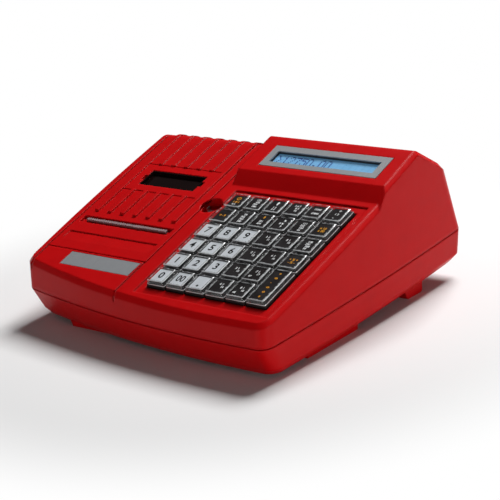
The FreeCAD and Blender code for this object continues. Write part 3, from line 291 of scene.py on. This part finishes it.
class Build:
    """Collects rounded blocks and flat outlines with several materials into one object."""

    def __init__(self, name, materials):
        self.name = name
        self.materials = materials
        self.mesh = bmesh.new()

    def index(self, material):
        return self.materials.index(material)

    def ring(self, x, y, z, wide, long, corner):
        """Outline of a rectangle with rounded corners."""
        points = []
        for quarter, (sx, sy) in enumerate(((1, 1), (-1, 1), (-1, -1), (1, -1))):
            cx = x + sx * (wide / 2 - corner)
            cy = y + sy * (long / 2 - corner)
            for step in range(CORNER_STEPS + 1):
                angle = math.radians(90 * quarter + 90 * step / CORNER_STEPS)
                points.append(self.mesh.verts.new((cx + corner * math.cos(angle),
                                                   cy + corner * math.sin(angle), z)))
        return points

    def skin(self, rings, materials, low_cap=None, high_cap=None):
        """Walls between rings; materials has one entry per band."""
        for number in range(len(rings) - 1):
            low, high = rings[number], rings[number + 1]
            count = len(low)
            for i in range(count):
                j = (i + 1) % count
                face = self.mesh.faces.new((low[i], low[j], high[j], high[i]))
                face.material_index = self.index(materials[number])
                face.smooth = True
        if low_cap:
            face = self.mesh.faces.new(list(reversed(rings[0])))
            face.material_index = self.index(low_cap)
        if high_cap:
            face = self.mesh.faces.new(rings[-1])
            face.material_index = self.index(high_cap)

    def block(self, x, y, low, high, wide, long, material, top_wide=None, top_long=None, corner=0.3,
              edge=0.15):
        """Block with rounded upright corners and a small chamfer round its top."""
        top_wide = top_wide or wide
        top_long = top_long or long
        share = edge / max(high - low, edge)
        rings = [self.ring(x, y, low, wide, long, corner),
                 self.ring(x, y, high - edge, wide + (top_wide - wide) * (1 - share),
                           long + (top_long - long) * (1 - share), corner),
                 self.ring(x, y, high, top_wide - 2 * edge, top_long - 2 * edge, max(corner - edge, 0.02))]
        self.skin(rings, [material, material], material, material)

    def flat(self, points, z, material):
        verts = [self.mesh.verts.new((px, py, z)) for px, py in points]
        face = self.mesh.faces.new(verts)
        face.material_index = self.index(material)

    def text(self, body, x, y, z, size, material, turn=0.0, bold=0.0, squeeze=1.0):
        """Characters of Blender's own font as flat faces, centred on x and y."""
        curve = bpy.data.curves.new("glyphs", "FONT")
        curve.body = body
        curve.size = size
        curve.offset = bold
        curve.align_x = "CENTER"
        curve.align_y = "CENTER"
        curve.resolution_u = 3
        holder = bpy.data.objects.new("glyphs", curve)
        bpy.context.scene.collection.objects.link(holder)
        bpy.context.view_layer.update()
        mesh = bpy.data.meshes.new_from_object(holder.evaluated_get(bpy.context.evaluated_depsgraph_get()))
        mesh.transform(Matrix.Translation(Vector((x, y, z))) @ Matrix.Rotation(math.radians(turn), 4, "Z")
                       @ Matrix.Diagonal(Vector((squeeze, 1.0, 1.0, 1.0))))
        start = len(self.mesh.faces)
        self.mesh.from_mesh(mesh)
        self.mesh.faces.ensure_lookup_table()
        for face in self.mesh.faces[start:]:
            face.material_index = self.index(material)
        bpy.data.objects.remove(holder)
        bpy.data.curves.remove(curve)
        bpy.data.meshes.remove(mesh)

    def finish(self, matrix, body, node=None, slot=None):
        bmesh.ops.recalc_face_normals(self.mesh, faces=self.mesh.faces)
        data = bpy.data.meshes.new(self.name)
        self.mesh.transform(matrix)
        self.mesh.to_mesh(data)
        self.mesh.free()
        for material in self.materials:
            data.materials.append(material)
        made = bpy.data.objects.new(self.name, data)
        bpy.context.scene.collection.objects.link(made)
        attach(made, body)
        if node:
            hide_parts(node)
        return made


# Keys

WHITE_KEYS = {(1, 1): "0", (1, 2): "00", (1, 3): ".", (2, 1): "1", (2, 2): "2", (2, 3): "3",
              (3, 1): "4", (3, 2): "5", (3, 3): "6", (4, 1): "7", (4, 2): "8", (4, 3): "9"}
W, O = INK_WHITE, INK_ORANGE
# Marks on each dark tile: characters, place across and along the tile, size and ink.
DARK_KEYS = {
    (1, 4): [("4 1", 0, 2.2, 2.6, W), ("14", 2, -0.6, 2.3, W)],
    (2, 4): [("3 1", 0, 2.2, 2.6, W), ("13", 2, -0.6, 2.3, W)],
    (3, 4): [("2 1", 0, 2.2, 2.6, W), ("12", 2, -0.6, 2.3, W)],
    (4, 4): [("1 1", 0, 2.2, 2.6, W), ("11", 2, -0.6, 2.3, W)],
    (1, 5): [("8 1", 0, 2.2, 2.6, W), ("18", 2, -0.6, 2.3, W), ("08", -3.5, -3.4, 2.2, W)],
    (2, 5): [("7 1", 0, 2.2, 2.6, W), ("17", 2, -0.6, 2.3, W), ("07", -3.5, -3.4, 2.2, W)],
    (3, 5): [("6 1", 0, 2.2, 2.6, W), ("16", 2, -0.6, 2.3, W)],
    (4, 5): [("5 1", 0, 2.2, 2.6, W), ("15", 2, -0.6, 2.3, W)],
    (3, 6): [("+ % +", 0, 1.6, 2.8, O), ("- % -", 0, -1.6, 2.8, O)],
    (4, 6): [("100", 0, 3.9, 2.4, W), ("200", -0.6, 1.3, 2.4, W), ("500", 0.6, -1.3, 2.4, W),
             ("50", 0, -3.9, 2.4, W)],
    (5, 6): [("x 10", 0, 1.6, 2.8, O), ("x 20", 0, -1.6, 2.8, O)],
    (6, 6): [("+", 0.6, 4.2, 3.4, W), ("1 2", 0, 0.2, 2.4, W), ("-", -0.6, -4.0, 3.4, W)],
    (6, 1): [("1 0 1", 0, -1.6, 2.8, O), ("0 1", -0.5, -4.4, 2.2, W)],
    (6, 2): [("123", 0, 3.9, 2.4, W), ("456", 0.5, 1.3, 2.4, W), ("789", -0.5, -1.3, 2.4, W),
             ("000", 0.4, -3.9, 2.4, W)],
    (6, 3): [("1 2", 0, -1.8, 2.3, W), ("3 4", 0, -4.2, 2.3, W)],
    (6, 4): [("5 6 7", 0, 3.2, 2.3, W), ("8 9", 1.0, 0.4, 2.3, W), ("10", 1.0, -2.4, 2.3, W)],
    (6, 5): [("12345", 0, 2.6, 2.3, W), ("67890", 0.6, -2.4, 2.3, W)],
    (5, 1): [("0 - 9", 0, 0.0, 2.6, O)],
    (5, 2): [("24", 0.6, 4.4, 2.4, W), ("365", 0, 1.6, 2.4, W), ("360", 0.3, -1.2, 2.4, W),
             ("180", 0, -4.0, 2.4, W)],
    (5, 3): [("321", 0, -0.4, 2.3, W), ("654", 0, -3.2, 2.3, W)],
    (5, 4): [("%", 1.2, 3.8, 2.6, W), ("0 %", 0, 0.2, 2.4, W), ("9", 1.4, -3.0, 2.4, W)],
    (5, 5): [("111", 0.5, 4.0, 2.4, W), ("222", 0, 1.3, 2.4, W), ("333", 0.6, -1.4, 2.4, W),
             ("44", 0, -4.1, 2.4, W)],
}


ARROW_HALF_SHARE, ARROW_STEM_SHARE, ARROW_NECK_SHARE = 0.36, 0.42, 0.05


def arrow(build, x, y, z, high, material):
    """Plain arrow that points up the keypad."""
    half = high * ARROW_HALF_SHARE
    stem = half * ARROW_STEM_SHARE
    neck = y + ARROW_NECK_SHARE * high
    build.flat([(x + half, neck), (x, y + high / 2), (x - half, neck)], z, material)
    build.flat([(x - stem, y - high / 2), (x + stem, y - high / 2), (x + stem, neck), (x - stem, neck)],
               z, material)


POWER_START, POWER_SWEEP, POWER_STEPS = 120, 300, 20
POWER_INNER_SHARE, POWER_BAR_SHARE, POWER_BAR_HALF = 0.72, 1.2, 0.25


def power_mark(build, x, y, z, radius, material):
    """Open ring with an upright bar."""
    inner = radius * POWER_INNER_SHARE
    for number in range(POWER_STEPS):
        first = math.radians(POWER_START + POWER_SWEEP * number / POWER_STEPS)
        second = math.radians(POWER_START + POWER_SWEEP * (number + 1) / POWER_STEPS)
        build.flat([(x + radius * math.cos(first), y + radius * math.sin(first)),
                    (x + radius * math.cos(second), y + radius * math.sin(second)),
                    (x + inner * math.cos(second), y + inner * math.sin(second)),
                    (x + inner * math.cos(first), y + inner * math.sin(first))], z, material)
    top = y + radius * POWER_BAR_SHARE
    build.flat([(x - POWER_BAR_HALF, y), (x + POWER_BAR_HALF, y), (x + POWER_BAR_HALF, top),
                (x - POWER_BAR_HALF, top)], z, material)


# One key: heights stand above the keypad's plane. A key of two rows is longer by one pitch.
SKIRT_LOW, SKIRT_HIGH, SKIRT_WIDE, SKIRT_TOP_WIDE = -1.5, 1.5, 18.4, 17.8
HOLDER_LOW, HOLDER_HIGH, HOLDER_WIDE, HOLDER_LONG = 1.4, 4.0, 12.8, 14.0
STEM_LOW, STEM_HIGH, STEM_WIDE = -8.2, -1.4, 5.4
TILE_HIGH, TILE_WIDE, TILE_LONG = 4.15, 12.1, 13.3
INK_HIGH = 4.17
DIGIT_SIZE, POINT_SIZE, DOUBLE_SQUEEZE, DIGIT_BOLD = 9.4, 15.0, 0.8, 0.22
DASH_SIZE, DASH_ALONG = 2.2, 5.2
MARK_GROWTH, MARK_BOLD = 1.15, 0.09
LONG_MARKS, LONG_MARK_SIZE, LONG_MARK_BOLD = "+ 0 . 0 0 =", 3.4, 0.12
LONG_MARK_START, LONG_MARK_STEP = 13.5, 2.6
# Signs by key: place along the tile, size and ink.
ARROWS = {(6, 3): (3.2, 4.4, INK_WHITE), (5, 3): (4.4, 2.8, INK_ORANGE)}
POWER_MARKS = {(6, 1): (2.8, 1.9, INK_ORANGE)}
# Rings of the clear cover from its foot to the tile: height, width, length and corner radius.
COVER_RINGS = ((1.5, 17.8, 17.8, 1.3), (1.95, 17.5, 17.5, 1.3), (4.55, 16.1, 16.1, 1.2),
               (5.0, 15.2, 15.2, 1.0), (5.0, 12.9, 14.1, 0.4))


def legend(build, row, column, span, x, y):
    """Print of one tile: a digit on a light key, small marks on a dark one."""
    digit = WHITE_KEYS.get((row, column))
    if digit:
        size = POINT_SIZE if digit == "." else DIGIT_SIZE
        squeeze = 1.0 if len(digit) == 1 else DOUBLE_SQUEEZE
        build.text(digit, x, y, INK_HIGH, size, INK_BLACK, bold=DIGIT_BOLD, squeeze=squeeze)
        if digit not in ("0", "00", "."):
            build.text("- -", x, y + DASH_ALONG, INK_HIGH, DASH_SIZE, INK_BLACK)
            build.text("-", x, y - DASH_ALONG, INK_HIGH, DASH_SIZE, INK_BLACK)
    for body, dx, dy, size, colour in DARK_KEYS.get((row, column), []):
        build.text(body, x + dx, y + dy, INK_HIGH, size * MARK_GROWTH, colour, bold=MARK_BOLD)
    for signs, draw in ((ARROWS, arrow), (POWER_MARKS, power_mark)):
        if (row, column) in signs:
            along, size, ink = signs[(row, column)]
            draw(build, x, y + along, INK_HIGH, size, ink)
    if span == 2:
        for number, mark in enumerate(LONG_MARKS):
            along = LONG_MARK_START - number * LONG_MARK_STEP
            build.text(mark, x, y + along, INK_HIGH, LONG_MARK_SIZE, INK_ORANGE, turn=-90,
                       bold=LONG_MARK_BOLD)


def key(row, column, span, x, y):
    """Skirt, stem, tile holder, printed tile and clear cover of one key."""
    extra = (span - 1) * KEY_PITCH
    name = "key_row%d_column%d" % (row, column)
    white = (row, column) in WHITE_KEYS
    tile = TILE_WHITE if white else TILE_BLACK
    build = Build(name + "_dressed", [SKIRT, tile, INK_BLACK, INK_WHITE, INK_ORANGE, CLEAR, CLEAR_SIDE_PAINTED_HIGHLIGHT,
                                      CLEAR_RIM_PAINTED_HIGHLIGHT, CLEAR_EDGE_PAINTED_HIGHLIGHT])
    build.block(x, y, SKIRT_LOW, SKIRT_HIGH, SKIRT_WIDE, SKIRT_WIDE + extra, SKIRT, SKIRT_TOP_WIDE,
                SKIRT_TOP_WIDE + extra, corner=0.7, edge=0.25)
    build.block(x, y, HOLDER_LOW, HOLDER_HIGH, HOLDER_WIDE, HOLDER_LONG + extra, SKIRT, corner=0.5)
    build.block(x, y, STEM_LOW, STEM_HIGH, STEM_WIDE, STEM_WIDE, SKIRT, corner=0.4)
    build.block(x, y, HOLDER_HIGH, TILE_HIGH, TILE_WIDE, TILE_LONG + extra, tile, corner=0.3, edge=0.04)
    legend(build, row, column, span, x, y)
    rings = [build.ring(x, y, z, wide, long + extra, corner) for z, wide, long, corner in COVER_RINGS]
    # The cover's bevels, walls and rim carry painted highlights in light grey veils.
    build.skin(rings, [CLEAR_EDGE_PAINTED_HIGHLIGHT, CLEAR_SIDE_PAINTED_HIGHLIGHT, CLEAR_EDGE_PAINTED_HIGHLIGHT, CLEAR_RIM_PAINTED_HIGHLIGHT], None, CLEAR)
    build.finish(SLOPE, name + "_cap", name, "key_white" if white else "key_black")


KEY_ROWS = KEY_COLUMNS = 6
LONG_KEY, COVERED_PLACE = (1, 6), (2, 6)
for row in range(1, KEY_ROWS + 1):
    for column in range(1, KEY_COLUMNS + 1):
        if (row, column) == COVERED_PLACE:
            continue
        span = 2 if (row, column) == LONG_KEY else 1
        key_x = KEYPAD_X + (column - (KEY_COLUMNS + 1) / 2) * KEY_PITCH
        key_y = KEYPAD_ALONG + (row - 1 + (span - 1) / 2 - (KEY_ROWS - 1) / 2) * KEY_PITCH
        key(row, column, span, key_x, key_y)


# Display

GLYPHS = {
    ">": ("10000", "01000", "00100", "00010", "00100", "01000", "10000"),
    "0": ("01110", "10001", "10001", "10001", "10001", "10001", "01110"),
    "1": ("00100", "01100", "00100", "00100", "00100", "00100", "01110"),
    "2": ("01110", "10001", "00001", "00010", "00100", "01000", "11111"),
    "5": ("11111", "10000", "11110", "00001", "00001", "10001", "01110"),
    "7": ("11111", "00001", "00010", "00100", "00100", "00100", "00100"),
    ".": ("00000", "00000", "00000", "00000", "00000", "01100", "01100"),
}


# Heights stand above the display housing's face.
LCD_WIDE, LCD_LONG = 99.2, 14.0
LCD_BOARD_LOW, LCD_BOARD_HIGH, LCD_BOARD_WIDE, LCD_BOARD_LONG = -12.0, -10.4, 122.0, 32.0
LCD_BLOCK_HIGH, LCD_FACE_HIGH, LCD_CELL_HIGH, LCD_INK_HIGH, LCD_GLASS_HIGH = -3.3, -2.6, -2.585, -2.57, -2.2
LCD_PLACES, LCD_LINE = 16, ">12750.00"
CELL_WIDE, CELL_LEFT_GAP, CELL_RIGHT_GAP, CELL_END_GAP = 5.95, 0.2, 0.5, 0.6
DOT_ROWS, DOTS_LONG, DOTS_LEFT = 7, 9.6, 0.4
DOTS_IN_CELL = 6.1
DOT_WIDE = CELL_WIDE / DOTS_IN_CELL
DOT_LONG = DOTS_LONG / DOT_ROWS
DOT_SIDE_GAP, DOT_END_GAP = 0.08, 0.06


def rectangle(left, right, low, high):
    return [(left, low), (right, low), (right, high), (left, high)]


def lcd():
    """Board, light block, glass, faint character cells and the dark dots of a display with one line."""
    build = Build("lcd_stack", [BOARD, LCD_BLUE, LCD_CELL, LCD_INK, LCD_GLASS])
    build.block(DISPLAY_X, LCD_ALONG, LCD_BOARD_LOW, LCD_BOARD_HIGH, LCD_BOARD_WIDE, LCD_BOARD_LONG, BOARD,
                corner=0.5)
    build.block(DISPLAY_X, LCD_ALONG, LCD_BOARD_HIGH, LCD_BLOCK_HIGH, LCD_WIDE, LCD_LONG, LCD_BLUE,
                corner=0.2, edge=0.05)
    build.block(DISPLAY_X, LCD_ALONG, LCD_BLOCK_HIGH, LCD_FACE_HIGH, LCD_WIDE, LCD_LONG, LCD_BLUE,
                corner=0.2, edge=0.05)
    left = DISPLAY_X - LCD_PLACES * CELL_WIDE / 2
    bottom = LCD_ALONG - DOTS_LONG / 2
    for number in range(LCD_PLACES):
        x = left + number * CELL_WIDE
        build.flat(rectangle(x + CELL_LEFT_GAP, x + CELL_WIDE - CELL_RIGHT_GAP, bottom - CELL_END_GAP,
                             bottom + DOTS_LONG + CELL_END_GAP), LCD_CELL_HIGH, LCD_CELL)
    for number, mark in enumerate(LCD_LINE):
        for line, bits in enumerate(GLYPHS[mark]):
            for place, bit in enumerate(bits):
                if bit == "1":
                    x = left + number * CELL_WIDE + DOTS_LEFT + place * DOT_WIDE
                    y = bottom + (DOT_ROWS - 1 - line) * DOT_LONG
                    build.flat(rectangle(x, x + DOT_WIDE - DOT_SIDE_GAP, y + DOT_END_GAP,
                                         y + DOT_LONG - DOT_END_GAP), LCD_INK_HIGH, LCD_INK)
    glass = build.ring(DISPLAY_X, LCD_ALONG, LCD_GLASS_HIGH, LCD_WIDE, LCD_LONG, corner=0.2)
    build.mesh.faces.new(glass).material_index = build.index(LCD_GLASS)
    build.finish(DISPLAY, "case", "lcd_module", "display_glass")


lcd()


# Floor, light and camera, in metres

FLOOR_HALF = 12.0
FLOOR_GREY = (0.72, 0.72, 0.72, 1.0)
WHITE = (1.0, 1.0, 1.0, 1.0)
# The camera sees the floor turn pure white between these distances from the middle.
FADE_START, FADE_END = 0.22, 0.34
WORLD_FILL = 0.05


def floor():
    """Pale floor that holds the shadow."""
    data = bpy.data.meshes.new("floor")
    data.from_pydata([(x, y, 0) for x, y in rectangle(-FLOOR_HALF, FLOOR_HALF, -FLOOR_HALF, FLOOR_HALF)], [],
                     [(0, 1, 2, 3)])
    made = bpy.data.objects.new("floor", data)
    bpy.context.scene.collection.objects.link(made)
    material = bpy.data.materials.new("floor_white")
    material.use_nodes = True
    nodes = material.node_tree.nodes
    links = material.node_tree.links
    surface = nodes["Principled BSDF"]
    surface.inputs["Base Color"].default_value = FLOOR_GREY
    surface.inputs["Roughness"].default_value = 0.9
    surface.inputs["Specular IOR Level"].default_value = 0.0
    white = nodes.new("ShaderNodeEmission")
    white.inputs["Color"].default_value = WHITE
    place = nodes.new("ShaderNodeTexCoord")
    length = nodes.new("ShaderNodeVectorMath")
    length.operation = "LENGTH"
    links.new(place.outputs["Object"], length.inputs[0])
    far_share = nodes.new("ShaderNodeMapRange")
    far_share.interpolation_type = "SMOOTHSTEP"
    far_share.inputs["From Min"].default_value = FADE_START
    far_share.inputs["From Max"].default_value = FADE_END
    links.new(length.outputs["Value"], far_share.inputs["Value"])
    rays = nodes.new("ShaderNodeLightPath")
    seen = nodes.new("ShaderNodeMath")
    seen.operation = "MULTIPLY"
    links.new(far_share.outputs["Result"], seen.inputs[0])
    links.new(rays.outputs["Is Camera Ray"], seen.inputs[1])
    mix = nodes.new("ShaderNodeMixShader")
    links.new(seen.outputs["Value"], mix.inputs["Fac"])
    links.new(surface.outputs["BSDF"], mix.inputs[1])
    links.new(white.outputs["Emission"], mix.inputs[2])
    links.new(mix.outputs["Shader"], nodes["Material Output"].inputs["Surface"])
    data.materials.append(material)


def soft_box(name, place, wide, high, power):
    """Area lamp that looks at the middle of the case."""
    lamp = bpy.data.lights.new(name, "AREA")
    lamp.shape = "RECTANGLE"
    lamp.size = wide
    lamp.size_y = high
    lamp.energy = power
    made = bpy.data.objects.new(name, lamp)
    made.location = place
    made.rotation_euler = (Vector(CASE_MIDDLE) - Vector(place)).to_track_quat("-Z", "Y").to_euler()
    bpy.context.scene.collection.objects.link(made)


def world():
    """Weak fill, and plain white where the camera looks past the floor."""
    made = bpy.data.worlds.new("studio")
    bpy.context.scene.world = made
    made.use_nodes = True
    nodes = made.node_tree.nodes
    links = made.node_tree.links
    background = nodes["Background"]
    background.inputs["Color"].default_value = WHITE
    background.inputs["Strength"].default_value = WORLD_FILL
    bright = nodes.new("ShaderNodeBackground")
    bright.inputs["Color"].default_value = WHITE
    bright.inputs["Strength"].default_value = 1.0
    rays = nodes.new("ShaderNodeLightPath")
    mix = nodes.new("ShaderNodeMixShader")
    links.new(rays.outputs["Is Camera Ray"], mix.inputs["Fac"])
    links.new(background.outputs["Background"], mix.inputs[1])
    links.new(bright.outputs["Background"], mix.inputs[2])
    links.new(mix.outputs["Shader"], nodes["World Output"].inputs["Surface"])


CASE_MIDDLE = (0.0, 0.0, 0.05)
# Name, place, width, height and watts of each lamp.
LAMPS = (("overhead_box", (0.04, 1.0, 1.55), 0.8, 0.8, 49.0),
         ("right_box", (1.6, -0.25, 0.14), 1.0, 0.3, 9.0),
         ("front_box", (-0.1, -1.7, 0.16), 1.2, 0.3, 4.8),
         ("left_box", (-1.7, 0.3, 0.16), 1.0, 0.3, 3.0))
floor()
world()
for lamp_settings in LAMPS:
    soft_box(*lamp_settings)

# Camera fitted to the corners of the keypad and the edges of the case in the photo.
SENSOR_WIDE, LENS = 36.0, 119.73
CAMERA_PLACE = Matrix((
    (0.75955879, -0.12369791, 0.63856814, 0.83287),
    (0.6403324, 0.31459646, -0.70071641, -0.8953004),
    (-0.11421412, 0.94113118, 0.31816229, 0.45116847),
    (0.0, 0.0, 0.0, 1.0)))
camera_data = bpy.data.cameras.new("photo_camera")
camera_data.sensor_width = SENSOR_WIDE
camera_data.lens = LENS
camera = bpy.data.objects.new("photo_camera", camera_data)
camera.matrix_world = CAMERA_PLACE
bpy.context.scene.collection.objects.link(camera)
bpy.context.scene.camera = camera
bpy.context.scene.view_settings.view_transform = "Standard"
